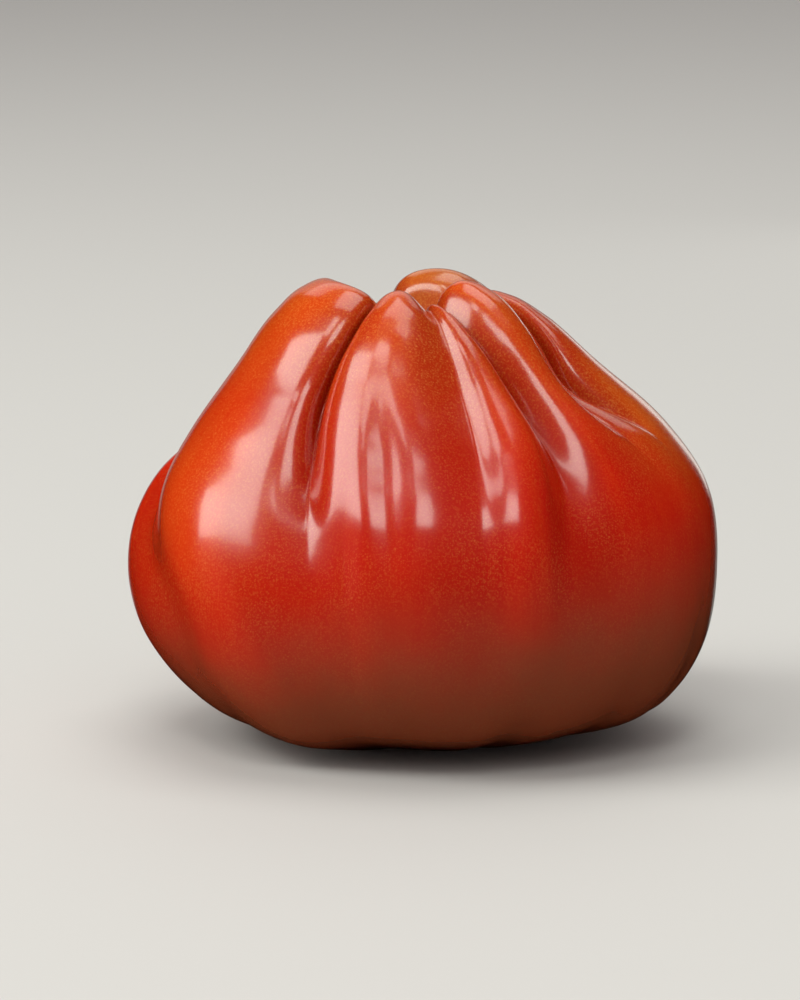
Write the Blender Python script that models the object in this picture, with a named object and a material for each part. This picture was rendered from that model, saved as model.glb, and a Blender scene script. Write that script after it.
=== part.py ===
"""A ribbed oxheart tomato, picked without its stalk, standing on its blossom end.

The fruit grew as one piece, so it is one solid. Its skin is a grid. The rows are rings round the fruit,
from the stalk's scar over the crown and down to the blossom's scar, and the columns run along the ribs.
A rib lies between two pleats. Rings give the outline of a full rib, and each pleat and rib says how far
it sinks below that outline at six levels.

A turn is an angle round the stalk in degrees: 0 is the front (-Y), 90 the right (+X), 180 the back.
The origin is on the ground, under the middle of the fruit's bounding box. Lengths are in metres.
"""

import math

import bmesh
import bpy
import numpy as np

MM = 0.001

# Driving dimensions, of the outline that every full rib follows. The back rib stands a little above it.
WIDTH = 96.2 * MM
DEPTH = 88.0 * MM
HEIGHT = 74.4 * MM

# The outline of a full rib, from the stalk's scar to the blossom's. Each ring has its distance from the
# axis as a share of half the width, its height as a share of the whole height, the direction in which a
# pleat sinks there (0 is straight in to the axis, 90 straight down) and the rows up to the next ring.
RINGS = {
    "stalk_centre": (0.000, 0.836, 90, 1),
    "stalk_scar": (0.091, 0.846, 90, 2),
    "cavity_floor": (0.130, 0.866, 100, 3),
    "cavity_wall": (0.156, 0.922, 106, 3),
    "crown_inner": (0.190, 0.975, 103, 3),
    "crown_top": (0.256, 1.000, 97, 3),
    "crown_outer": (0.358, 0.983, 89, 3),
    "shoulder": (0.460, 0.932, 78, 4),
    "upper_flank": (0.603, 0.825, 52, 5),
    "flank": (0.796, 0.684, 36, 4),
    "lower_flank": (0.943, 0.547, 24, 4),
    "belly": (1.000, 0.392, 8, 4),
    "low_belly": (0.962, 0.231, -24, 4),
    "heel": (0.805, 0.092, -52, 4),
    "sole_edge": (0.500, 0.021, -74, 3),
    "sole": (0.270, -0.003, -88, 2),
    "sole_inner": (0.170, -0.003, -90, 2),
    "blossom_dimple": (0.085, 0.012, -90, 2),
    "blossom_scar": (0.034, 0.019, -90, 1),
    "blossom_centre": (0.000, 0.018, -90, 0),
}

# The six levels that the tables below give values for, from the top down.
LEVELS = ("crown_top", "upper_flank", "flank", "lower_flank", "belly", "heel")

# Each pleat has its turn in degrees and its depth in millimetres at the six levels. They go round from
# the left to the front, the right and the back.
PLEATS = {
    "left_side": ((-126, -118, -110, -90, -68, -58), (7.0, 5.0, 3.6, 2.8, 2.4, 0.4)),
    "left_front": ((-24, -36, -33.5, -27, -22, -19), (7.0, 6.6, 5.8, 4.4, 2.9, 1.1)),
    "right_front": ((16, 14.5, 11.5, 10.5, 11.5, 11), (3.6, 2.6, 2.4, 1.8, 1.2, 0.7)),
    "right_middle": ((24, 34, 33, 30, 29, 31), (4.6, 4.6, 3.8, 2.5, 1.3, 0.7)),
    "pocket_front": ((70, 55.5, 57.5, 62, 64, 64), (5.0, 4.4, 0.4, 0.0, 0.0, 0.0)),
    "pocket": ((92, 67, 70.5, 72, 74, 74), (5.4, 5.2, 0.2, 0.0, 0.0, 0.0)),
    "right_back": ((111, 110, 116, 118, 114, 111), (6.5, 4.0, 3.0, 2.2, 1.4, 0.8)),
    "back_right": ((119, 134, 139, 140, 140, 140), (6.5, 3.6, 2.8, 2.0, 1.4, 0.8)),
    "back_left": ((190, 199, 200, 201, 202, 203), (7.2, 4.0, 3.0, 2.2, 1.4, 0.8)),
    "left_back": ((232, 240, 238, 238, 241, 243), (6.8, 3.8, 3.0, 2.2, 1.4, 0.8)),
}

# Each rib follows the pleat of the same place in the list above. It has its columns, how creased its left
# and right side are, from 0 for a wave to 1 for the level's usual crease and more for a sharper one, how full
# the two sides are, from 0 for a straight flank to 1 and more for a bulging one, and how far its crest sinks
# below the full outline, in millimetres, at the six levels. A negative value stands out.
RIBS = {
    "left": (12, 1, 1.6, 1, 1.0, (-0.6, 0.0, -0.6, -0.4, 0.0, -1.3)),
    "front": (13, 1.3, 0.4, 0.5, 0.6, (0.3, 0.2, 0.0, 0.0, 0.0, 0.7)),
    "front_right": (7, 0.8, 1, 0.5, 0.6, (2.6, 0.4, 0.0, 0.0, 0.0, 1.5)),
    "right_front": (11, 1, 1, 0.2, 1, (-0.9, 0.0, 0.0, 0.0, 0.0, 0.8)),
    "pocket_lip": (5, 1, 1, 1, 1, (3.2, 3.6, 0.0, 0.0, 0.0, 0.4)),
    "right": (11, 1.2, 1, 1.3, 1, (2.0, -0.1, -0.4, -0.2, 0.0, 0.3)),
    "right_back": (7, 1, 1, 1, 1, (6.2, 1.6, 0.4, 0.0, 0.0, 0.0)),
    "back": (12, 1, 1, 1, 1, (-0.6, 0.0, 0.0, 0.0, 0.0, 0.0)),
    "back_left": (9, 1, 1, 1, 1, (5.2, 1.6, 0.4, 0.0, 0.0, 0.0)),
    "left_back": (9, 1, 1, 1, 1, (6.5, 4.4, 1.4, -0.9, 0.1, 0.6)),
}

# Shallow dips run down some ribs. Each has its turn in degrees and its depth in millimetres at the six
# levels, and the width in degrees over which it fades.
DIPS = {
    "front_left": ((-23, -23, -20.5, -18, -15, -15), (0.0, 0.0, 0.2, 0.6, 0.5, 0.0), 2.5),
    "front": ((-8, -12, -11.0, -8.5, -6.5, -7), (0.0, 0.5, 1.9, 2.2, 1.2, 0.5), 6),
    "right": ((45, 45, 45, 45, 46, 47), (0.0, 0.0, 0.0, 0.2, 0.3, 0.3), 6),
    "back": ((162, 165, 170, 171, 171, 171), (0.0, 0.8, 1.3, 1.2, 1.0, 0.6), 8),
    "left": ((-48, -48, -46, -45, -44, -42), (0.0, 0.0, 0.1, 0.2, 0.3, 0.3), 7),
}

# How round a dip's bottom is, as a share of its width
DIP_ROUND = 0.45

# How a rib's section changes down the fruit: how far its sides swell over the pleats, as a share of its
# half width, and how soft the pleats' bottoms are, from 0 for a crease to 1 for a wave.
SWELL = (0.75, 0.50, 0.30, 0.10, 0.00, 0.00)
SOFTNESS = (0.25, 0.35, 0.50, 0.80, 1.00, 1.00)

# How far the fruit's middle line stands to the right at the six levels, in millimetres.
LEAN = (-2.8, -0.8, 1.2, 1.0, 0.0, 1.6)

# The pleats come to their full depth over this way outside the stalk's scar.
SCAR_RIM = 2.5 * MM

# The way from the axis to the middle of the bounding box, so that the origin is under that middle.
CENTRE_X = 0.085 * MM
CENTRE_Y = 0.035 * MM


def smooth_path(places, values, at):
    """Values at the places in at, on a smooth curve through the given ones (cubic, with secant slopes)."""
    places = np.asarray(places, float)
    values = np.asarray(values, float)
    slopes = np.gradient(values, places)
    at = np.clip(at, places[0], places[-1])
    span = np.clip(np.searchsorted(places, at, side="right") - 1, 0, len(places) - 2)
    gap = places[span + 1] - places[span]
    t = (at - places[span]) / gap
    start = (1 + 2 * t) * (1 - t) ** 2 * values[span] + t * (1 - t) ** 2 * gap * slopes[span]
    end = t * t * (3 - 2 * t) * values[span + 1] - t * t * (1 - t) * gap * slopes[span + 1]
    return start + end


def ring_places():
    """Each ring's place along the outline, as a length."""
    outline = np.array([ring[:2] for ring in RINGS.values()]) * (WIDTH / 2, HEIGHT)
    steps = np.hypot(*np.diff(outline, axis=0).T)
    return np.concatenate([[0.0], np.cumsum(steps)])


def row_places(finer=1):
    """The places of the grid's rows along the outline. finer divides each gap between rows."""
    places = ring_places()
    rows = [places[:1]]
    for i, ring in enumerate(list(RINGS.values())[:-1]):
        count = ring[3] * finer
        rows.append(places[i] + (places[i + 1] - places[i]) * np.arange(1, count + 1) / count)
    return np.concatenate(rows)


def at_levels(values, rows):
    """A value given at the six levels, on every row. It holds past the first and the last level."""
    names = list(RINGS)
    places = ring_places()[[names.index(level) for level in LEVELS]]
    return smooth_path(places, values, rows)


def along_outline(rows):
    """The full rib's reach, height and sinking direction on every row, in metres and radians."""
    places = ring_places()
    table = np.array([ring[:3] for ring in RINGS.values()])
    reach, height, sink = (smooth_path(places, column, rows) for column in table.T)
    return reach * WIDTH / 2, height * HEIGHT, np.radians(sink)


def dips_depth(turn, rows):
    """How far all the dips together sink the skin at a turn on every row."""
    depth = 0
    for turns, depths, width in DIPS.values():
        off = (turn - at_levels(turns, rows) + 180) % 360 - 180
        depth = depth + at_levels(depths, rows) * MM * np.exp(DIP_ROUND - np.hypot(off / width, DIP_ROUND))
    return depth


def skin_points(finer=1):
    """The grid's points, as an array of rows by columns by 3, without the two centres."""
    rows = row_places(finer)[1:-1]
    reach, height, sink = along_outline(rows)
    swell = at_levels(SWELL, rows)
    softness = at_levels(SOFTNESS, rows)
    lean = at_levels(LEAN, rows) * MM
    turns = [at_levels(turn, rows) for turn, _ in PLEATS.values()]
    depths = [at_levels(depth, rows) * MM for _, depth in PLEATS.values()]
    # Pleats die out at the stalk's scar and on the sole.
    scar, sole, heel = (RINGS[name][0] * WIDTH / 2 for name in ("stalk_scar", "sole_inner", "heel"))
    upper = np.clip((reach - scar) / SCAR_RIM, 0, 1)
    lower = np.clip((reach - sole) / (heel - sole), 0, 1)
    fade = np.where(height > HEIGHT / 2, upper, lower)
    columns = []
    for i, (count, crease_a, crease_b, full_a, full_b, crest) in enumerate(RIBS.values()):
        following = (i + 1) % len(turns)
        turn_a = turns[i]
        turn_b = turns[following] + (360 if following == 0 else 0)
        crest_sink = at_levels(crest, rows) * MM
        count *= finer
        for k in range(count):
            across = -math.pi / 2 + math.pi * k / count
            soft = np.maximum(0, 1 - (crease_a if across < 0 else crease_b) * (1 - softness))
            full = full_a if across < 0 else full_b
            bulge = (1 - soft) * full
            rise = bulge * math.cos(across) + (1 - bulge) * math.cos(across) ** 2
            side = math.sin(across) * (1 + full * swell * math.cos(across) ** 2)
            side = (1 - soft) * side + soft * 2 * across / math.pi
            turn = (turn_a + turn_b) / 2 + (turn_b - turn_a) / 2 * side
            pleat_sink = depths[i] if across < 0 else depths[following]
            depth = pleat_sink + (crest_sink - pleat_sink) * rise + dips_depth(turn, rows)
            far = reach - depth * fade * np.cos(sink)
            z = height - depth * fade * np.sin(sink)
            x = far * np.sin(np.radians(turn)) + lean
            y = -far * np.cos(np.radians(turn)) * DEPTH / WIDTH
            columns.append(np.stack([x - CENTRE_X, y - CENTRE_Y, np.maximum(z, 0)], axis=1))
    return np.stack(columns, axis=1)


def centres():
    """The middle of the stalk's scar and of the blossom's."""
    ends = ring_places()[[0, -1]]
    _, height, _ = along_outline(ends)
    lean = at_levels(LEAN, ends) * MM
    return [(x - CENTRE_X, -CENTRE_Y, z) for x, z in zip(lean, height)]


def skin_material():
    material = bpy.data.materials.new("tomato_skin")
    material.use_nodes = True
    shader = material.node_tree.nodes["Principled BSDF"]
    shader.inputs["Base Color"].default_value = (0.52, 0.03, 0.008, 1)
    shader.inputs["Roughness"].default_value = 0.28
    shader.inputs["Metallic"].default_value = 0.0
    return material


def make_tomato():
    points = skin_points()
    mesh = bmesh.new()
    rings = [[mesh.verts.new(p) for p in row] for row in points]
    stalk, blossom = (mesh.verts.new(p) for p in centres())
    for i in range(len(rings[0])):
        j = (i + 1) % len(rings[0])
        mesh.faces.new((stalk, rings[0][i], rings[0][j]))
        for above, below in zip(rings, rings[1:]):
            mesh.faces.new((above[i], below[i], below[j], above[j]))
        mesh.faces.new((rings[-1][i], blossom, rings[-1][j]))
    bmesh.ops.triangulate(mesh, faces=mesh.faces[:])
    bmesh.ops.recalc_face_normals(mesh, faces=mesh.faces[:])
    data = bpy.data.meshes.new("tomato")
    mesh.to_mesh(data)
    mesh.free()
    data.shade_smooth()
    data.materials.append(skin_material())
    tomato = bpy.data.objects.new("tomato", data)
    bpy.context.scene.collection.objects.link(tomato)
    return tomato


def main():
    for old in list(bpy.data.objects):
        bpy.data.objects.remove(old)
    make_tomato()


main()
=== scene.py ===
"""The looks of a ribbed oxheart tomato, picked without its stalk, standing on its blossom end.

The fine skin follows the same outline, pleats and ribs as the solid that it stands for, on a closer grid.
Node trees then give it its faint unevenness, and make the corky scars of the stalk and of the blossom.

A turn is an angle round the stalk in degrees: 0 is the front (-Y), 90 the right (+X), 180 the back.
Lengths are in metres, and colours are linear.
"""

import math

import bpy
import numpy as np
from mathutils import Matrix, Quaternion, Vector


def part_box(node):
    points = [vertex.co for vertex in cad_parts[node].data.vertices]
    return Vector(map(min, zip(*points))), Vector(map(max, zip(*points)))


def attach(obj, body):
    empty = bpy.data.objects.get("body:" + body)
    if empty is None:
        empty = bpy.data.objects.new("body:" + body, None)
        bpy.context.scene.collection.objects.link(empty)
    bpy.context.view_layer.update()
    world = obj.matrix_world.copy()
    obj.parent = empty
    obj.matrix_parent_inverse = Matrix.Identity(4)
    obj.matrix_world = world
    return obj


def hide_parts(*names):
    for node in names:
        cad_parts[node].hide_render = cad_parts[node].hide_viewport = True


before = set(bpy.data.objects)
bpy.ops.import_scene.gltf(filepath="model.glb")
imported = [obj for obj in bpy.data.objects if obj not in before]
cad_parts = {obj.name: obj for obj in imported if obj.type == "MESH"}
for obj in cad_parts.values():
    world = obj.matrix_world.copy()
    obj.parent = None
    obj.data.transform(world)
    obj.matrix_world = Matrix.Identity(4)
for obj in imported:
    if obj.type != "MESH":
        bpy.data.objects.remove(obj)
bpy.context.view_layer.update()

MM = 0.001

# The solid's driving dimensions, of the outline that every full rib follows
WIDTH = 96.2 * MM
DEPTH = 88.0 * MM
HEIGHT = 74.4 * MM

# The skin's grid is this many times as fine as the solid's.
FINER = 4

# The outline of a full rib, from the stalk's scar to the blossom's. Each ring has its distance from the
# axis as a share of half the width, its height as a share of the whole height, the direction in which a
# pleat sinks there (0 is straight in to the axis, 90 straight down) and the rows up to the next ring.
RINGS = {
    "stalk_centre": (0.000, 0.836, 90, 1),
    "stalk_scar": (0.091, 0.846, 90, 2),
    "cavity_floor": (0.130, 0.866, 100, 3),
    "cavity_wall": (0.156, 0.922, 106, 3),
    "crown_inner": (0.190, 0.975, 103, 3),
    "crown_top": (0.256, 1.000, 97, 3),
    "crown_outer": (0.358, 0.983, 89, 3),
    "shoulder": (0.460, 0.932, 78, 4),
    "upper_flank": (0.603, 0.825, 52, 5),
    "flank": (0.796, 0.684, 36, 4),
    "lower_flank": (0.943, 0.547, 24, 4),
    "belly": (1.000, 0.392, 8, 4),
    "low_belly": (0.962, 0.231, -24, 4),
    "heel": (0.805, 0.092, -52, 4),
    "sole_edge": (0.500, 0.021, -74, 3),
    "sole": (0.270, -0.003, -88, 2),
    "sole_inner": (0.170, -0.003, -90, 2),
    "blossom_dimple": (0.085, 0.012, -90, 2),
    "blossom_scar": (0.034, 0.019, -90, 1),
    "blossom_centre": (0.000, 0.018, -90, 0),
}

# The six levels that the tables below give values for, from the top down.
LEVELS = ("crown_top", "upper_flank", "flank", "lower_flank", "belly", "heel")

# Each pleat has its turn in degrees and its depth in millimetres at the six levels. They go round from
# the left to the front, the right and the back.
PLEATS = {
    "left_side": ((-126, -118, -110, -90, -68, -58), (7.0, 5.0, 3.6, 2.8, 2.4, 0.4)),
    "left_front": ((-24, -36, -33.5, -27, -22, -19), (7.0, 6.6, 5.8, 4.4, 2.9, 1.1)),
    "right_front": ((16, 14.5, 11.5, 10.5, 11.5, 11), (3.6, 2.6, 2.4, 1.8, 1.2, 0.7)),
    "right_middle": ((24, 34, 33, 30, 29, 31), (4.6, 4.6, 3.8, 2.5, 1.3, 0.7)),
    "pocket_front": ((70, 55.5, 57.5, 62, 64, 64), (5.0, 4.4, 0.4, 0.0, 0.0, 0.0)),
    "pocket": ((92, 67, 70.5, 72, 74, 74), (5.4, 5.2, 0.2, 0.0, 0.0, 0.0)),
    "right_back": ((111, 110, 116, 118, 114, 111), (6.5, 4.0, 3.0, 2.2, 1.4, 0.8)),
    "back_right": ((119, 134, 139, 140, 140, 140), (6.5, 3.6, 2.8, 2.0, 1.4, 0.8)),
    "back_left": ((190, 199, 200, 201, 202, 203), (7.2, 4.0, 3.0, 2.2, 1.4, 0.8)),
    "left_back": ((232, 240, 238, 238, 241, 243), (6.8, 3.8, 3.0, 2.2, 1.4, 0.8)),
}

# Each rib follows the pleat of the same place in the list above. It has its columns, how creased its left
# and right side are, from 0 for a wave to 1 for the level's usual crease and more for a sharper one, how
# full the two sides are, from 0 for a straight flank to 1 and more for a bulging one, and how far its crest
# sinks below the full outline, in millimetres, at the six levels. A negative value stands out.
RIBS = {
    "left": (12, 1, 1.6, 1, 1.0, (-0.6, 0.0, -0.6, -0.4, 0.0, -1.3)),
    "front": (13, 1.3, 0.4, 0.5, 0.6, (0.3, 0.2, 0.0, 0.0, 0.0, 0.7)),
    "front_right": (7, 0.8, 1, 0.5, 0.6, (2.6, 0.4, 0.0, 0.0, 0.0, 1.5)),
    "right_front": (11, 1, 1, 0.2, 1, (-0.9, 0.0, 0.0, 0.0, 0.0, 0.8)),
    "pocket_lip": (5, 1, 1, 1, 1, (3.2, 3.6, 0.0, 0.0, 0.0, 0.4)),
    "right": (11, 1.2, 1, 1.3, 1, (2.0, -0.1, -0.4, -0.2, 0.0, 0.3)),
    "right_back": (7, 1, 1, 1, 1, (6.2, 1.6, 0.4, 0.0, 0.0, 0.0)),
    "back": (12, 1, 1, 1, 1, (-0.6, 0.0, 0.0, 0.0, 0.0, 0.0)),
    "back_left": (9, 1, 1, 1, 1, (5.2, 1.6, 0.4, 0.0, 0.0, 0.0)),
    "left_back": (9, 1, 1, 1, 1, (6.5, 4.4, 1.4, -0.9, 0.1, 0.6)),
}

# Shallow dips run down some ribs. Each has its turn in degrees and its depth in millimetres at the six
# levels, and the width in degrees over which it fades.
DIPS = {
    "front_left": ((-23, -23, -20.5, -18, -15, -15), (0.0, 0.0, 0.2, 0.6, 0.5, 0.0), 2.5),
    "front": ((-8, -12, -11.0, -8.5, -6.5, -7), (0.0, 0.5, 1.9, 2.2, 1.2, 0.5), 6),
    "right": ((45, 45, 45, 45, 46, 47), (0.0, 0.0, 0.0, 0.2, 0.3, 0.3), 6),
    "back": ((162, 165, 170, 171, 171, 171), (0.0, 0.8, 1.3, 1.2, 1.0, 0.6), 8),
    "left": ((-48, -48, -46, -45, -44, -42), (0.0, 0.0, 0.1, 0.2, 0.3, 0.3), 7),
}

# How round a dip's bottom is, as a share of its width
DIP_ROUND = 0.45

# How a rib's section changes down the fruit: how far its sides swell over the pleats, as a share of its
# half width, and how soft the pleats' bottoms are, from 0 for a crease to 1 for a wave.
SWELL = (0.75, 0.50, 0.30, 0.10, 0.00, 0.00)
SOFTNESS = (0.25, 0.35, 0.50, 0.80, 1.00, 1.00)

# How far the fruit's middle line stands to the right at the six levels, in millimetres.
LEAN = (-2.8, -0.8, 1.2, 1.0, 0.0, 1.6)

# The pleats come to their full depth over this way outside the stalk's scar.
SCAR_RIM = 2.5 * MM

# The skin's faint unevenness: how deep it goes and how long its waves are. Waves are drawn out down the
# ribs, because height counts this much less than the other two directions.
SWELL_DEPTH = 0.30 * MM
SWELL_LENGTH = 11.0 * MM
SWELL_SQUEEZE = 0.4
RIPPLE_DEPTH = 0.05 * MM
RIPPLE_LENGTH = 2.6 * MM
RELIEF_SEED = 3.0
# Below this height the skin stays as smooth as the solid, because it rests there. It is uneven in full
# from this many times that height up.
RESTING_HEIGHT = 3.0 * MM
FREE_FROM = 3.0

# Fold depth at which the folds' painted shade is full
FOLD_DEPTH = 6.0 * MM

# The scars where the stalk and the blossom sat, as values for the tree that makes them
STALK_SCAR = {
    "Radius": 4.7 * MM,
    "Thickness": 0.9 * MM,
    "Crack Depth": 0.5 * MM,
    "Crumb Size": 0.28 * MM,
    "Crumbs": 220,
    "Seed": 5,
}
BLOSSOM_SCAR = {
    "Radius": 1.7 * MM,
    "Thickness": 0.35 * MM,
    "Crack Depth": 0.15 * MM,
    "Crumb Size": 0.12 * MM,
    "Crumbs": 60,
    "Turned Over": (math.pi, 0.0, 0.0),
    "Seed": 8,
}
# How far the stalk's scar is let into the skin
STALK_SCAR_SUNK = 0.35 * MM

# The mesh of a scar's cushion
CUSHION_SIDES = 144
CUSHION_RINGS = 40
CUSHION_TIP = 0.02 * MM

# A scar's section, as shares of its radius: the rim's slope has its foot at 1 and its top here, and the
# dish in the middle rises from its floor to its edge. The floor's height is a share of the thickness.
RIM_TOP = 0.72
DISH_FLOOR = 0.12
DISH_EDGE = 0.45
DISH_HEIGHT = 0.45

# About how many cracks run out from a scar's middle. Their noise is read round a ring whose radius is
# this number over RING_SHARE, and they wander because it is also read along the ring's axis on the way out.
CRACKS = 9.0
RING_SHARE = 6.0
CRACK_NOISE = 2.2
CRACK_WANDER = 0.8
# Lumps in a radius, how much of the relief is cracks and lumps, and how ragged the cracks make the rim
LUMPS = 3.2
CRACK_RELIEF = 1.1
LUMP_RELIEF = 0.7
RIM_LEAST = 0.86
RIM_RAGGED = 0.24

# Crumbs of cork: the least length as a share of the crumb size, and the width and height of each as shares
CRUMB_LEAST = 0.35
CRUMB_WIDTH = 0.7
CRUMB_HEIGHT = 0.5

# Skin colours
RIPE_RED = (0.610, 0.011, 0.0006)
DEEP_RED = (0.510, 0.005, 0.0005)
# Deep red of the painted shade in the folds, which the dark grain uses too
FOLD_SHADE_AND_GRAIN_RED = (0.360, 0.006, 0.001)
ORANGE = (0.640, 0.088, 0.004)
GOLD = (0.420, 0.125, 0.018)
# Brown of the painted shade towards the base
BASE_SHADE_BROWN = (0.215, 0.050, 0.019)
FLECK = (0.850, 0.360, 0.060)
STRAW = (0.420, 0.270, 0.080)

# Skin patches: deeper red ones, uneven ones in the warm colours, and ones with more flecks
DEEP_PATCH = 16 * MM
WARM_PATCH = 7 * MM
FLECK_PATCH = 9 * MM

# Fibres under the skin: how wide a streak is, how much less its way along the ribs counts, which draws it
# out, and how strong it is
STREAK_WIDTH = 1.6 * MM
STREAK_SQUEEZE = 0.06
STREAK_STRENGTH = 0.08

# Where the skin is orange or gold: from one height up to another on the crown, and round three points, each
# with the radius at which the colour has gone. Even between its patches it keeps the least share.
CROWN_START = 44 * MM
CROWN_FULL = 76 * MM
CROWN_STRENGTH = 0.75
RIGHT_SHOULDER = (Vector((35, -6, 57)) * MM, 25 * MM)
LEFT_RIB = (Vector((-36, -22, 48)) * MM, 34 * MM)
LEFT_RIB_STRENGTH = 0.45
BACK_RIB_TOP = (Vector((4, 14, 76)) * MM, 20 * MM)
WARM_LEAST = 0.65

# Where in a fold its painted shade of deep red begins and where it is full, as shares of the fold depth,
# and how strong it is: first a hint, and then the deep red further down
FOLD_SHADE_HINT = (0.02, 0.20)
FOLD_SHADE_HINT_STRENGTH = 0.50
FOLD_SHADE_DEEP = (0.45, 1.0)
FOLD_SHADE_DEEP_STRENGTH = 0.85

# The base gets painted shade, darker and browner, below the first height, and in full below the second.
# The shade begins higher by this share of the way to the right, and lower in the deeper red patches.
BASE_START = 38 * MM
BASE_FULL = 12 * MM
BASE_TILT = 0.14
BASE_PATCHES = 5 * MM
BASE_SHADE_STRENGTH = 0.95

# Pale gold flecks: the spacing of the fine and of the large ones, and how strongly they show. To the least
# strength comes more in patches and where the skin is warm, and a share of it goes at the base.
FINE_SPACING = 0.36 * MM
LARGE_SPACING = 1.1 * MM
FLECK_LEAST = 0.02
FLECK_IN_PATCHES = 0.07
FLECK_WHERE_WARM = 0.17
FLECK_LOST_AT_BASE = 0.7
LARGE_FLECK_STRENGTH = 1.3

# The skin's fine grain: its size, and its heights, from 0 to 1, between which it turns golden or dark
GRAIN_SIZE = 0.36 * MM
GOLDEN_GRAIN = (0.45, 0.70)
GOLDEN_GRAIN_STRENGTH = 0.9
DARK_GRAIN = (0.54, 0.30)
DARK_GRAIN_STRENGTH = 0.10

# Straw colour round the stalk's scar: how far from the scar's middle it ends and from where it is full
STRAW_END = 11 * MM
STRAW_FULL = 4 * MM
STRAW_STRENGTH = 0.8

# The skin's waxy gloss: duller by a little in patches, over the grain and the fine flecks
SKIN_ROUGHNESS = 0.20
DULLER_IN_PATCHES = 0.04
GRAIN_DEPTH = 0.05 * MM
GRAIN_STRENGTH = 0.16
FLECK_RAISED = 0.25
WAX_WEIGHT = 0.60
WAX_ROUGHNESS = 0.11

# Light that goes through the flesh near the surface
FLESH_WEIGHT = 0.12
FLESH_COLOURS = (1.0, 0.25, 0.1)
FLESH_DEPTH = 3 * MM

# Cork: its colours, the size of its patches, dots and grain, and the depth of the grain
CORK_LIGHT = (0.360, 0.220, 0.110)
CORK_DARK = (0.090, 0.045, 0.020)
CORK_PATCH = 0.9 * MM
CORK_DOT_SPACING = 0.5 * MM
CORK_DOT_STRENGTH = 0.6
CORK_GRAIN_SIZE = 0.25 * MM
CORK_GRAIN_DEPTH = 0.1 * MM
CORK_GRAIN_STRENGTH = 0.6
CORK_ROUGHNESS = 0.85

# The stage: the floor's sides are twice its half width, in metres.
FLOOR_COLOUR = (0.610, 0.555, 0.550)
FLOOR_ROUGHNESS = 0.75
FLOOR_HALF_WIDTH = 4.0
AIR_COLOUR = (0.900, 0.880, 0.860)
AIR_STRENGTH = 0.40
LAMP_COLOUR = (0.91, 1.0, 0.93)

# The lamps face this point. Each has the turn and the rise of its direction from there in degrees, its
# distance, width and height in metres, its brightness as the gloss shows it, its roll in degrees, and
# whether it shows in the gloss at all.
LAMP_AIM = Vector((0, 0, 40 * MM))
LAMPS = {
    "left_softbox": (-74.5, 39.7, 1.80, 0.72, 1.27, 5.6, 61, True),
    "ceiling_strip": (-42, 60, 1.80, 0.36, 0.30, 5.4, 0, True),
    "front_softbox": (-4, 50, 1.80, 0.58, 0.50, 5.4, 0, True),
    "top_softbox": (150, 82, 1.80, 1.30, 1.20, 2.4, 0, True),
    "back_card": (180, 10, 3.20, 2.40, 3.00, 0.28, 0, True),
    "back_softbox": (178, 42, 3.00, 3.00, 1.20, 0.8, 0, True),
    "right_strip": (160, 6, 0.80, 0.10, 0.30, 1.0, 0, True),
    "front_fill": (5, 44, 2.50, 2.60, 1.60, 0.8, 0, False),
    "left_fill": (-75, 12, 2.20, 1.40, 1.20, 2.4, 0, False),
}

# The camera looks from straight in front, 10 degrees above the ground.
CAMERA_RISE = math.radians(10)
CAMERA_DISTANCE = 650 * MM
CAMERA_AIM = Vector((-3.6, 0.0, 38.3)) * MM
CAMERA_NEAREST = 10 * MM
# How much of the fruit's plane the picture's width takes in
VIEW_WIDTH = 129.6 * MM
SENSOR_WIDTH = 36.0


def smooth_path(places, values, at):
    """Values at the places in at, on a smooth curve through the given ones (cubic, with secant slopes)."""
    places = np.asarray(places, float)
    values = np.asarray(values, float)
    slopes = np.gradient(values, places)
    at = np.clip(at, places[0], places[-1])
    span = np.clip(np.searchsorted(places, at, side="right") - 1, 0, len(places) - 2)
    gap = places[span + 1] - places[span]
    t = (at - places[span]) / gap
    start = (1 + 2 * t) * (1 - t) ** 2 * values[span] + t * (1 - t) ** 2 * gap * slopes[span]
    end = t * t * (3 - 2 * t) * values[span + 1] - t * t * (1 - t) * gap * slopes[span + 1]
    return start + end


def ring_places():
    """Each ring's place along the outline, as a length."""
    outline = np.array([ring[:2] for ring in RINGS.values()]) * (WIDTH / 2, HEIGHT)
    steps = np.hypot(*np.diff(outline, axis=0).T)
    return np.concatenate([[0.0], np.cumsum(steps)])


def row_places():
    """The places of the skin's rows along the outline."""
    places = ring_places()
    rows = [places[:1]]
    for i, ring in enumerate(list(RINGS.values())[:-1]):
        count = ring[3] * FINER
        rows.append(places[i] + (places[i + 1] - places[i]) * np.arange(1, count + 1) / count)
    return np.concatenate(rows)


def at_levels(values, rows):
    """A value given at the six levels, on every row. It holds past the first and the last level."""
    names = list(RINGS)
    places = ring_places()[[names.index(level) for level in LEVELS]]
    return smooth_path(places, values, rows)


def along_outline(rows):
    """The full rib's reach, height and sinking direction on every row, in metres and radians."""
    places = ring_places()
    table = np.array([ring[:3] for ring in RINGS.values()])
    reach, height, sink = (smooth_path(places, column, rows) for column in table.T)
    return reach * WIDTH / 2, height * HEIGHT, np.radians(sink)


def dips_depth(turn, rows):
    """How far all the dips together sink the skin at a turn on every row."""
    depth = 0
    for turns, depths, width in DIPS.values():
        off = (turn - at_levels(turns, rows) + 180) % 360 - 180
        depth = depth + at_levels(depths, rows) * MM * np.exp(DIP_ROUND - np.hypot(off / width, DIP_ROUND))
    return depth


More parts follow.
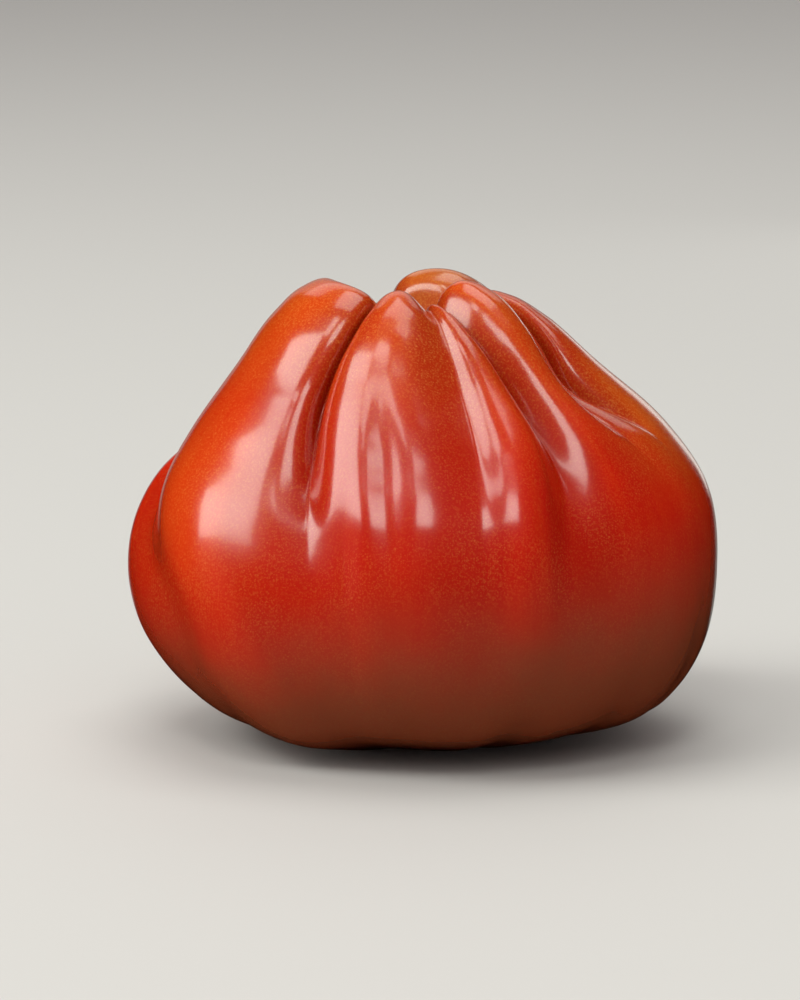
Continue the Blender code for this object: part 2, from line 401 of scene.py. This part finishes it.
def skin_grid():
    """The skin's points as rows by columns by 3, how deep each is sunk, and its place along the ribs."""
    rows = row_places()[1:-1]
    reach, height, sink = along_outline(rows)
    swell = at_levels(SWELL, rows)
    softness = at_levels(SOFTNESS, rows)
    lean = at_levels(LEAN, rows) * MM
    turns = [at_levels(turn, rows) for turn, _ in PLEATS.values()]
    depths = [at_levels(depth, rows) * MM for _, depth in PLEATS.values()]
    # Pleats die out at the stalk's scar and on the sole.
    scar, sole, heel = (RINGS[name][0] * WIDTH / 2 for name in ("stalk_scar", "sole_inner", "heel"))
    upper = np.clip((reach - scar) / SCAR_RIM, 0, 1)
    lower = np.clip((reach - sole) / (heel - sole), 0, 1)
    fade = np.where(height > HEIGHT / 2, upper, lower)
    points = []
    sunk = []
    places = []
    for i, (count, crease_a, crease_b, full_a, full_b, crest) in enumerate(RIBS.values()):
        following = (i + 1) % len(turns)
        turn_a = turns[i]
        turn_b = turns[following] + (360 if following == 0 else 0)
        crest_sink = at_levels(crest, rows) * MM
        count *= FINER
        for k in range(count):
            across = -math.pi / 2 + math.pi * k / count
            soft = np.maximum(0, 1 - (crease_a if across < 0 else crease_b) * (1 - softness))
            full = full_a if across < 0 else full_b
            bulge = (1 - soft) * full
            rise = bulge * math.cos(across) + (1 - bulge) * math.cos(across) ** 2
            side = math.sin(across) * (1 + full * swell * math.cos(across) ** 2)
            side = (1 - soft) * side + soft * 2 * across / math.pi
            turn = (turn_a + turn_b) / 2 + (turn_b - turn_a) / 2 * side
            pleat_sink = depths[i] if across < 0 else depths[following]
            depth = pleat_sink + (crest_sink - pleat_sink) * rise + dips_depth(turn, rows)
            far = reach - depth * fade * np.cos(sink)
            z = height - depth * fade * np.sin(sink)
            x = far * np.sin(np.radians(turn)) + lean
            y = -far * np.cos(np.radians(turn)) * DEPTH / WIDTH
            points.append(np.stack([x, y, np.maximum(z, 0)], axis=1))
            sunk.append(depth * fade)
            # Round the fruit on a circle as wide as the fruit, and along the outline
            round_x = WIDTH / 2 * np.sin(np.radians(turn))
            round_y = WIDTH / 2 * np.cos(np.radians(turn))
            places.append(np.stack([round_x, round_y, rows], axis=1))
    return np.stack(points, axis=1), np.stack(sunk, axis=1), np.stack(places, axis=1)


def scar_middles():
    """The middle of the stalk's scar and of the blossom's, before the skin is fitted to the solid."""
    ends = ring_places()[[0, -1]]
    _, height, _ = along_outline(ends)
    lean = at_levels(LEAN, ends) * MM
    return np.array([(x, 0, z) for x, z in zip(lean, height)])


def fit_to_solid(points, middles):
    """Points and middles, moved and stretched by a hair so that the skin fills the solid's box exactly."""
    low, high = (np.array(corner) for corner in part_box("tomato"))
    lowest = points.reshape(-1, 3).min(axis=0)
    highest = points.reshape(-1, 3).max(axis=0)
    stretch = (high - low) / (highest - lowest)
    return low + (points - lowest) * stretch, low + (middles - lowest) * stretch


def skin_mesh(points, middles, sunk, places):
    """A closed mesh of the grid, with its fold depth and its place along the ribs kept as attributes."""
    rows, columns = sunk.shape
    vertices = np.concatenate([points.reshape(-1, 3), middles])
    stalk = rows * columns
    blossom = stalk + 1
    faces = []
    for i in range(columns):
        j = (i + 1) % columns
        faces.append((stalk, i, j))
        for row in range(rows - 1):
            above = row * columns
            below = above + columns
            faces.append((above + i, below + i, below + j, above + j))
        last = (rows - 1) * columns
        faces.append((last + i, blossom, last + j))
    mesh = bpy.data.meshes.new("tomato_skin")
    mesh.from_pydata(vertices.tolist(), [], faces)
    fold = mesh.attributes.new("fold", "FLOAT", "POINT")
    fold_values = np.concatenate([sunk.ravel() / FOLD_DEPTH, [0, 0]])
    fold.data.foreach_set("value", np.clip(fold_values, 0, 1).astype(np.float32))
    along = mesh.attributes.new("rib_place", "FLOAT_VECTOR", "POINT")
    ends = [(0, 0, ring_places()[0]), (0, 0, ring_places()[-1])]
    place_values = np.concatenate([places.reshape(-1, 3), ends])
    along.data.foreach_set("vector", place_values.astype(np.float32).ravel())
    mesh.shade_smooth()
    return mesh


# Node trees: short ways to add a node and get its output socket

def feed(tree, socket, value):
    """Links a socket to another node's output, or sets it to a plain value."""
    if isinstance(value, bpy.types.NodeSocket):
        tree.links.new(value, socket)
    else:
        socket.default_value = value


def add(tree, kind, inputs=None, **settings):
    """A new node with its settings and its inputs, by name or by number."""
    node = tree.nodes.new(kind)
    for name, value in settings.items():
        setattr(node, name, value)
    for name, value in (inputs or {}).items():
        feed(tree, node.inputs[name], value)
    return node


def calculate(tree, operation, *values):
    node = add(tree, "ShaderNodeMath", dict(enumerate(values)), operation=operation)
    return node.outputs[0]


def product(tree, first, second):
    return calculate(tree, "MULTIPLY", first, second)


def one_over(tree, value):
    return calculate(tree, "DIVIDE", 1.0, value)


def calculate_vector(tree, operation, *values):
    node = add(tree, "ShaderNodeVectorMath", operation=operation)
    for socket, value in zip(node.inputs, values):
        feed(tree, socket, value)
    return node.outputs["Value" if operation in ("LENGTH", "DISTANCE") else "Vector"]


def scaled(tree, vector, factor):
    node = add(tree, "ShaderNodeVectorMath", {"Vector": vector, "Scale": factor}, operation="SCALE")
    return node.outputs["Vector"]


def split(tree, vector):
    """A vector's three parts, by name."""
    return add(tree, "ShaderNodeSeparateXYZ", {0: vector}).outputs


def vector_of(tree, x, y, z):
    return add(tree, "ShaderNodeCombineXYZ", {0: x, 1: y, 2: z}).outputs[0]


def ramp(tree, value, start, end, at_start=0.0, at_end=1.0):
    """A smooth step of value from start to end."""
    inputs = {"Value": value, "From Min": start, "From Max": end, "To Min": at_start, "To Max": at_end}
    node = add(tree, "ShaderNodeMapRange", inputs, interpolation_type="SMOOTHSTEP")
    return node.outputs["Result"]


def noise(tree, vector, scale, detail, roughness=0.5, seed=None):
    """Smooth noise from 0 to 1, in a pattern of its own for each seed."""
    inputs = {"Vector": vector, "Scale": scale, "Detail": detail, "Roughness": roughness}
    if seed is None:
        return add(tree, "ShaderNodeTexNoise", inputs, noise_dimensions="3D").outputs[0]
    return add(tree, "ShaderNodeTexNoise", {**inputs, "W": seed}, noise_dimensions="4D").outputs[0]


def new_group(kind, name, inputs, outputs):
    """An empty node group with named sockets, its input sockets and the sockets that take its results.
    inputs are (name, socket type, default) and outputs (name, socket type)."""
    tree = bpy.data.node_groups.new(name, kind)
    for label, socket_type, default in inputs:
        socket = tree.interface.new_socket(label, in_out="INPUT", socket_type=socket_type)
        if default is not None:
            socket.default_value = default
    for label, socket_type in outputs:
        tree.interface.new_socket(label, in_out="OUTPUT", socket_type=socket_type)
    source = tree.nodes.new("NodeGroupInput")
    result = tree.nodes.new("NodeGroupOutput")
    return tree, source.outputs, result.inputs


# Shapes that geometry trees make

def end_tree(tree, geometry, material, result):
    """Ends a geometry tree: instances are made real, and everything gets the material."""
    whole = add(tree, "GeometryNodeRealizeInstances", {"Geometry": geometry})
    dressed = add(tree, "GeometryNodeSetMaterial", {"Geometry": whole.outputs[0], "Material": material})
    tree.links.new(dressed.outputs[0], result[0])


def shape_by_tree(name, mesh, tree, values):
    """A plain mesh object: what the geometry tree makes of mesh with these values for its named inputs."""
    made = bpy.data.objects.new(name, mesh)
    bpy.context.scene.collection.objects.link(made)
    modifier = made.modifiers.new(tree.name, "NODES")
    modifier.node_group = tree
    for item in tree.interface.items_tree:
        if item.item_type == "SOCKET" and item.in_out == "INPUT" and item.name in values:
            modifier[item.identifier] = values[item.name]
    graph = bpy.context.evaluated_depsgraph_get()
    shaped = bpy.data.meshes.new_from_object(made.evaluated_get(graph), depsgraph=graph)
    made.modifiers.remove(modifier)
    made.data = shaped
    shaped.name = name
    return made


def skin_relief_tree():
    """Sinks the skin a little, in long waves down the ribs and in short ripples, but not where it rests."""
    tree, given, result = new_group("GeometryNodeTree", "skin relief", [
        ("Geometry", "NodeSocketGeometry", None),
        ("Swell Depth", "NodeSocketFloat", SWELL_DEPTH),
        ("Swell Length", "NodeSocketFloat", SWELL_LENGTH),
        ("Ripple Depth", "NodeSocketFloat", RIPPLE_DEPTH),
        ("Ripple Length", "NodeSocketFloat", RIPPLE_LENGTH),
        ("Resting Height", "NodeSocketFloat", RESTING_HEIGHT),
        ("Seed", "NodeSocketFloat", RELIEF_SEED),
        ("Skin", "NodeSocketMaterial", None),
    ], [("Geometry", "NodeSocketGeometry")])
    place = add(tree, "GeometryNodeInputPosition").outputs[0]
    normal = add(tree, "GeometryNodeInputNormal").outputs[0]
    free_height = product(tree, given["Resting Height"], FREE_FROM)
    free = ramp(tree, split(tree, place)["Z"], given["Resting Height"], free_height)
    drawn_out = calculate_vector(tree, "MULTIPLY", place, (1.0, 1.0, SWELL_SQUEEZE))
    swell = noise(tree, drawn_out, one_over(tree, given["Swell Length"]), 1.0, 0.4, given["Seed"])
    ripple = noise(tree, place, one_over(tree, given["Ripple Length"]), 1.0, 0.5, given["Seed"])
    swell_depth = product(tree, swell, given["Swell Depth"])
    ripple_depth = product(tree, ripple, given["Ripple Depth"])
    depth = calculate(tree, "ADD", swell_depth, ripple_depth)
    inward = scaled(tree, normal, product(tree, product(tree, depth, free), -1.0))
    moved = add(tree, "GeometryNodeSetPosition", {"Geometry": given["Geometry"], "Offset": inward})
    end_tree(tree, moved.outputs[0], given["Skin"], result)
    return tree


def corky_scar_tree():
    """A low corky cushion with cracks running out from its middle, and crumbs of cork on it."""
    tree, given, result = new_group("GeometryNodeTree", "corky scar", [
        ("Radius", "NodeSocketFloat", STALK_SCAR["Radius"]),
        ("Thickness", "NodeSocketFloat", STALK_SCAR["Thickness"]),
        ("Cracks", "NodeSocketFloat", CRACKS),
        ("Crack Depth", "NodeSocketFloat", STALK_SCAR["Crack Depth"]),
        ("Crumb Size", "NodeSocketFloat", STALK_SCAR["Crumb Size"]),
        ("Crumbs", "NodeSocketInt", STALK_SCAR["Crumbs"]),
        ("Middle", "NodeSocketVector", None),
        ("Turned Over", "NodeSocketRotation", None),
        ("Seed", "NodeSocketInt", STALK_SCAR["Seed"]),
        ("Cork", "NodeSocketMaterial", None),
    ], [("Geometry", "NodeSocketGeometry")])
    seed = given["Seed"]
    cushion = add(tree, "GeometryNodeMeshCone", {
        "Vertices": CUSHION_SIDES, "Side Segments": CUSHION_RINGS, "Fill Segments": 2,
        "Radius Top": CUSHION_TIP, "Radius Bottom": given["Radius"], "Depth": given["Thickness"],
    }, fill_type="TRIANGLE_FAN")
    place = add(tree, "GeometryNodeInputPosition").outputs[0]
    parts = split(tree, place)
    flat = vector_of(tree, parts["X"], parts["Y"], 0.0)
    out = calculate(tree, "DIVIDE", calculate_vector(tree, "LENGTH", flat), given["Radius"])
    # Cracks and lumps
    ring_radius = calculate(tree, "DIVIDE", given["Cracks"], RING_SHARE)
    around = scaled(tree, calculate_vector(tree, "NORMALIZE", flat), ring_radius)
    wander = vector_of(tree, 0.0, 0.0, product(tree, out, CRACK_WANDER))
    crack_place = calculate_vector(tree, "ADD", around, wander)
    cracks = noise(tree, crack_place, CRACK_NOISE, 3.0, 0.65, seed)
    lumps = noise(tree, place, calculate(tree, "DIVIDE", LUMPS, given["Radius"]), 3.0, 0.6, seed)
    relief = calculate(tree, "ADD", product(tree, cracks, CRACK_RELIEF), product(tree, lumps, LUMP_RELIEF))
    relief_height = product(tree, relief, given["Crack Depth"])
    rise = calculate(tree, "SUBTRACT", relief_height, given["Crack Depth"])
    # A cushion: steep at the rim, dished in the middle where the stalk's core broke off
    rim = ramp(tree, out, 1.0, RIM_TOP)
    crown = product(tree, rim, ramp(tree, out, DISH_FLOOR, DISH_EDGE, DISH_HEIGHT, 1.0))
    level = product(tree, crown, calculate(tree, "ADD", given["Thickness"], rise))
    on_top = calculate(tree, "GREATER_THAN", parts["Z"], 0.0)
    lifted = vector_of(tree, 0.0, 0.0, product(tree, level, on_top))
    wide = scaled(tree, flat, calculate(tree, "ADD", RIM_LEAST, product(tree, cracks, RIM_RAGGED)))
    shaped = add(tree, "GeometryNodeSetPosition", {
        "Geometry": cushion.outputs["Mesh"], "Position": calculate_vector(tree, "ADD", wide, lifted)})
    # Crumbs all over it, each turned and sized in its own way
    area = product(tree, product(tree, given["Radius"], given["Radius"]), math.pi)
    scattered = add(tree, "GeometryNodeDistributePointsOnFaces", {
        "Mesh": shaped.outputs[0], "Seed": seed,
        "Density": calculate(tree, "DIVIDE", given["Crumbs"], area)})
    crumb = add(tree, "GeometryNodeMeshIcoSphere", {"Radius": given["Crumb Size"], "Subdivisions": 2})
    length = add(tree, "FunctionNodeRandomValue", {
        "Min": CRUMB_LEAST, "Max": 1.0, "Seed": seed}, data_type="FLOAT")
    whole_turns = (math.tau, math.tau, math.tau)
    spin = add(tree, "FunctionNodeRandomValue", {
        "Min": (0.0, 0.0, 0.0), "Max": whole_turns, "Seed": seed}, data_type="FLOAT_VECTOR")
    crumbs = add(tree, "GeometryNodeInstanceOnPoints", {
        "Points": scattered.outputs["Points"], "Instance": crumb.outputs["Mesh"],
        "Rotation": spin.outputs["Value"],
        "Scale": vector_of(tree, length.outputs["Value"], CRUMB_WIDTH, CRUMB_HEIGHT)})
    joined = add(tree, "GeometryNodeJoinGeometry")
    tree.links.new(crumbs.outputs[0], joined.inputs[0])
    tree.links.new(shaped.outputs[0], joined.inputs[0])
    put = add(tree, "GeometryNodeTransform", {
        "Geometry": joined.outputs[0], "Translation": given["Middle"], "Rotation": given["Turned Over"]})
    end_tree(tree, put.outputs[0], given["Cork"], result)
    return tree


# Patterns that the skin and the cork share

def speckle_group():
    """Small round dots, one in some of the cells of a grid of random cells."""
    tree, given, result = new_group("ShaderNodeTree", "speckle", [
        ("Vector", "NodeSocketVector", None),
        ("Spacing", "NodeSocketFloat", FINE_SPACING),
        ("Dot Size", "NodeSocketFloat", 0.3),
        ("Share", "NodeSocketFloat", 0.5),
    ], [("Mask", "NodeSocketFloat")])
    cells = add(tree, "ShaderNodeTexVoronoi", {
        "Vector": given["Vector"], "Scale": one_over(tree, given["Spacing"])})
    # A dot is full within this share of its size, and fades from there.
    full = product(tree, given["Dot Size"], 0.4)
    dots = ramp(tree, cells.outputs["Distance"], given["Dot Size"], full)
    draw = add(tree, "ShaderNodeSeparateColor", {0: cells.outputs["Color"]}).outputs[0]
    chosen = calculate(tree, "LESS_THAN", draw, given["Share"])
    tree.links.new(product(tree, dots, chosen), result[0])
    return tree


def mottle_group():
    """Soft patches from 0 to 1."""
    tree, given, result = new_group("ShaderNodeTree", "mottle", [
        ("Vector", "NodeSocketVector", None),
        ("Size", "NodeSocketFloat", DEEP_PATCH),
        ("Detail", "NodeSocketFloat", 3.0),
        ("Contrast", "NodeSocketFloat", 0.2),
    ], [("Mask", "NodeSocketFloat")])
    patches = noise(tree, given["Vector"], one_over(tree, given["Size"]), given["Detail"])
    low = calculate(tree, "SUBTRACT", 0.5, given["Contrast"])
    high = calculate(tree, "ADD", 0.5, given["Contrast"])
    tree.links.new(ramp(tree, patches, low, high), result[0])
    return tree


def grain_group():
    """The height of a fine grain, from 0 to 1."""
    tree, given, result = new_group("ShaderNodeTree", "fine grain", [
        ("Vector", "NodeSocketVector", None),
        ("Size", "NodeSocketFloat", GRAIN_SIZE),
        ("Roughness", "NodeSocketFloat", 0.6),
    ], [("Height", "NodeSocketFloat")])
    height = noise(tree, given["Vector"], one_over(tree, given["Size"]), 3.0, given["Roughness"])
    tree.links.new(height, result[0])
    return tree


def use_group(tree, group, **inputs):
    """A group's output, with its inputs by name, where a space is written as an underscore."""
    node = add(tree, "ShaderNodeGroup", node_tree=group)
    for name, value in inputs.items():
        feed(tree, node.inputs[name.replace("_", " ")], value)
    return node.outputs[0]


# Materials

def socket_colour(colour):
    return colour if isinstance(colour, bpy.types.NodeSocket) else (*colour, 1.0)


def mix(tree, factor, first, second):
    """first where factor is 0 and second where it is 1. Both are colours."""
    node = add(tree, "ShaderNodeMix", data_type="RGBA")
    feed(tree, node.inputs["Factor"], factor)
    feed(tree, node.inputs["A"], socket_colour(first))
    feed(tree, node.inputs["B"], socket_colour(second))
    return node.outputs["Result"]


def tint(tree, colour, other, where, strength):
    """colour, taken towards another as far as strength says, where the mask is 1."""
    return mix(tree, product(tree, where, strength), colour, other)


def new_material(name):
    """A material, its node tree and the input sockets of its shader."""
    material = bpy.data.materials.new(name)
    material.use_nodes = True
    tree = material.node_tree
    return material, tree, tree.nodes["Principled BSDF"].inputs


def nearness(tree, place, middle, radius):
    """1 at a middle point, falling smoothly to 0 at a radius from it."""
    far = calculate_vector(tree, "DISTANCE", place, middle)
    return ramp(tree, far, radius, 0.0)


def skin_material(speckle, mottle, grain):
    """Ripe red, warm at the top, with painted shade: deep red in the folds and brown at the base.
    It has flecks and a waxy gloss.
    """
    material, tree, shader = new_material("tomato skin")
    place = add(tree, "ShaderNodeTexCoord").outputs["Object"]
    height = split(tree, place)["Z"]
    sideways = split(tree, place)["X"]
    fold = add(tree, "ShaderNodeAttribute", attribute_name="fold").outputs["Fac"]
    along = add(tree, "ShaderNodeAttribute", attribute_name="rib_place").outputs["Vector"]
    outline_place = split(tree, along)["Z"]
    # Ripe red with deeper patches
    patches = use_group(tree, mottle, Vector=place, Size=DEEP_PATCH, Detail=4.0, Contrast=0.25)
    colour = mix(tree, patches, RIPE_RED, DEEP_RED)
    # Streaks of the fibres under the skin, drawn out along the ribs
    drawn_out = calculate_vector(tree, "MULTIPLY", along, (1.0, 1.0, STREAK_SQUEEZE))
    streaks = use_group(tree, mottle, Vector=drawn_out, Size=STREAK_WIDTH, Detail=2.0, Contrast=0.22)
    colour = tint(tree, colour, ORANGE, streaks, STREAK_STRENGTH)
    # Orange over the crown, the right shoulder and the left rib, and gold on top of the back rib
    crown = product(tree, ramp(tree, height, CROWN_START, CROWN_FULL), CROWN_STRENGTH)
    left = product(tree, nearness(tree, place, *LEFT_RIB), LEFT_RIB_STRENGTH)
    warm = calculate(tree, "MAXIMUM", crown, nearness(tree, place, *RIGHT_SHOULDER))
    warm = calculate(tree, "MAXIMUM", warm, left)
    warm_patches = use_group(tree, mottle, Vector=place, Size=WARM_PATCH, Detail=4.0, Contrast=0.35)
    uneven = calculate(tree, "MULTIPLY_ADD", warm_patches, 1 - WARM_LEAST, WARM_LEAST)
    colour = tint(tree, colour, ORANGE, warm, uneven)
    colour = tint(tree, colour, GOLD, nearness(tree, place, *BACK_RIB_TOP), uneven)
    # Painted shade: deep red down in the folds, and a hint of it where they run out
    colour = tint(tree, colour, FOLD_SHADE_AND_GRAIN_RED, ramp(tree, fold, *FOLD_SHADE_HINT), FOLD_SHADE_HINT_STRENGTH)
    colour = tint(tree, colour, FOLD_SHADE_AND_GRAIN_RED, ramp(tree, fold, *FOLD_SHADE_DEEP), FOLD_SHADE_DEEP_STRENGTH)
    # Painted shade: darker and browner towards the base
    base_edge = calculate(tree, "MULTIPLY_ADD", patches, BASE_PATCHES, height)
    base_edge = calculate(tree, "MULTIPLY_ADD", sideways, -BASE_TILT, base_edge)
    base = ramp(tree, base_edge, BASE_START, BASE_FULL)
    colour = tint(tree, colour, BASE_SHADE_BROWN, base, BASE_SHADE_STRENGTH)
    # Pale gold flecks, fine ones all over and a few larger ones
    fine = use_group(tree, speckle, Vector=place, Spacing=FINE_SPACING, Dot_Size=0.45, Share=0.6)
    large = use_group(tree, speckle, Vector=place, Spacing=LARGE_SPACING, Dot_Size=0.22, Share=0.25)
    where = use_group(tree, mottle, Vector=place, Size=FLECK_PATCH, Detail=3.0, Contrast=0.3)
    shown = calculate(tree, "MULTIPLY_ADD", where, FLECK_IN_PATCHES, FLECK_LEAST)
    shown = calculate(tree, "MULTIPLY_ADD", warm, FLECK_WHERE_WARM, shown)
    shown = product(tree, shown, calculate(tree, "MULTIPLY_ADD", base, -FLECK_LOST_AT_BASE, 1.0))
    colour = tint(tree, colour, FLECK, fine, shown)
    colour = tint(tree, colour, FLECK, large, product(tree, shown, LARGE_FLECK_STRENGTH))
    # A dense fine grain, golden on its heights where flecks show, and a little darker in its hollows
    grain_height = use_group(tree, grain, Vector=place, Size=GRAIN_SIZE, Roughness=0.5)
    golden = product(tree, shown, GOLDEN_GRAIN_STRENGTH)
    colour = tint(tree, colour, FLECK, ramp(tree, grain_height, *GOLDEN_GRAIN), golden)
    colour = tint(tree, colour, FOLD_SHADE_AND_GRAIN_RED, ramp(tree, grain_height, *DARK_GRAIN), DARK_GRAIN_STRENGTH)
    # Straw round the stalk's scar
    scar_rim = ramp(tree, outline_place, STRAW_END, STRAW_FULL)
    feed(tree, shader["Base Color"], tint(tree, colour, STRAW, scar_rim, STRAW_STRENGTH))
    # Waxy gloss over the grain and the flecks, duller by a little in patches
    dull = calculate(tree, "MULTIPLY_ADD", where, DULLER_IN_PATCHES, SKIN_ROUGHNESS)
    feed(tree, shader["Roughness"], dull)
    raised = calculate(tree, "MULTIPLY_ADD", fine, FLECK_RAISED, grain_height)
    bump = add(tree, "ShaderNodeBump", {
        "Strength": GRAIN_STRENGTH, "Distance": GRAIN_DEPTH, "Height": raised})
    feed(tree, shader["Normal"], bump.outputs[0])
    shader["Coat Weight"].default_value = WAX_WEIGHT
    shader["Coat Roughness"].default_value = WAX_ROUGHNESS
    shader["Subsurface Weight"].default_value = FLESH_WEIGHT
    shader["Subsurface Radius"].default_value = FLESH_COLOURS
    shader["Subsurface Scale"].default_value = FLESH_DEPTH
    return material


def cork_material(speckle, mottle, grain):
    """Dry light and dark cork with straw-coloured dots and a rough grain."""
    material, tree, shader = new_material("scar cork")
    place = add(tree, "ShaderNodeTexCoord").outputs["Object"]
    patches = use_group(tree, mottle, Vector=place, Size=CORK_PATCH, Detail=4.0, Contrast=0.25)
    colour = mix(tree, patches, CORK_DARK, CORK_LIGHT)
    dots = use_group(tree, speckle, Vector=place, Spacing=CORK_DOT_SPACING, Dot_Size=0.3, Share=0.5)
    feed(tree, shader["Base Color"], tint(tree, colour, STRAW, dots, CORK_DOT_STRENGTH))
    rough = use_group(tree, grain, Vector=place, Size=CORK_GRAIN_SIZE, Roughness=0.7)
    bump = add(tree, "ShaderNodeBump", {
        "Strength": CORK_GRAIN_STRENGTH, "Distance": CORK_GRAIN_DEPTH, "Height": rough})
    feed(tree, shader["Normal"], bump.outputs[0])
    shader["Roughness"].default_value = CORK_ROUGHNESS
    return material


# The fruit and its stage

def make_skin(skin):
    """The skin in place of the solid. Returns the middles of the two scars."""
    points, sunk, places = skin_grid()
    points, middles = fit_to_solid(points, scar_middles())
    smooth = skin_mesh(points, middles, sunk, places)
    tomato = shape_by_tree("tomato_skin", smooth, skin_relief_tree(), {"Skin": skin})
    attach(tomato, "root")
    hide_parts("tomato")
    return [Vector(middle) for middle in middles]


def make_scars(cork, stalk_middle, blossom_middle):
    """The corky scars of the stalk, let into the skin a little, and of the blossom, which faces down."""
    tree = corky_scar_tree()
    stalk_middle = stalk_middle - Vector((0, 0, STALK_SCAR_SUNK))
    scars = {
        "stalk_scar": {**STALK_SCAR, "Middle": stalk_middle, "Cork": cork},
        "blossom_scar": {**BLOSSOM_SCAR, "Middle": blossom_middle, "Cork": cork},
    }
    for name, values in scars.items():
        scar = shape_by_tree(name, bpy.data.meshes.new(name), tree, values)
        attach(scar, "root")


def make_fruit():
    patterns = (speckle_group(), mottle_group(), grain_group())
    skin = skin_material(*patterns)
    cork = cork_material(*patterns)
    make_scars(cork, *make_skin(skin))


def make_floor():
    mesh = bpy.data.meshes.new("floor")
    half = FLOOR_HALF_WIDTH
    corners = [(-half, -half, 0), (half, -half, 0), (half, half, 0), (-half, half, 0)]
    mesh.from_pydata(corners, [], [(0, 1, 2, 3)])
    floor = bpy.data.objects.new("floor", mesh)
    bpy.context.scene.collection.objects.link(floor)
    material, _, shader = new_material("floor")
    shader["Base Color"].default_value = (*FLOOR_COLOUR, 1.0)
    shader["Roughness"].default_value = FLOOR_ROUGHNESS
    mesh.materials.append(material)
    # The gloss of the fruit doesn't mirror the bright floor, so its lower half keeps its colour.
    floor.visible_glossy = False


def add_softbox(name, turn, rise, distance, width, height, brightness, roll, in_gloss):
    """A soft rectangular lamp, as a row of the table of lamps describes it. Roll turns its top to the right,
    as seen from behind the lamp."""
    turn = math.radians(turn)
    rise = math.radians(rise)
    way = Vector((math.sin(turn) * math.cos(rise), -math.cos(turn) * math.cos(rise), math.sin(rise)))
    light = bpy.data.lights.new(name, "AREA")
    light.shape = "RECTANGLE"
    light.size = width
    light.size_y = height
    light.energy = brightness * math.pi * width * height
    light.color = LAMP_COLOUR
    lamp = bpy.data.objects.new(name, light)
    lamp.location = LAMP_AIM + way * distance
    facing = (-way).to_track_quat("-Z", "Y")
    lamp.rotation_euler = (facing @ Quaternion((0, 0, 1), math.radians(-roll))).to_euler()
    lamp.visible_glossy = in_gloss
    bpy.context.scene.collection.objects.link(lamp)


def make_air():
    """A pale even light from all round, which the gloss doesn't show."""
    world = bpy.data.worlds.new("pale air")
    world.use_nodes = True
    background = world.node_tree.nodes["Background"]
    background.inputs["Color"].default_value = (*AIR_COLOUR, 1.0)
    background.inputs["Strength"].default_value = AIR_STRENGTH
    world.cycles_visibility.glossy = False
    bpy.context.scene.world = world


def make_camera():
    data = bpy.data.cameras.new("camera")
    data.sensor_fit = "HORIZONTAL"
    data.sensor_width = SENSOR_WIDTH
    data.lens = SENSOR_WIDTH * CAMERA_DISTANCE / VIEW_WIDTH
    data.clip_start = CAMERA_NEAREST
    camera = bpy.data.objects.new("camera", data)
    back = Vector((0, -math.cos(CAMERA_RISE), math.sin(CAMERA_RISE)))
    camera.location = CAMERA_AIM + back * CAMERA_DISTANCE
    camera.rotation_euler = (-back).to_track_quat("-Z", "Y").to_euler()
    bpy.context.scene.collection.objects.link(camera)
    bpy.context.scene.camera = camera


make_fruit()
make_floor()
for name, values in LAMPS.items():
    add_softbox(name, *values)
make_air()
make_camera()
bpy.context.scene.view_settings.view_transform = "Standard"
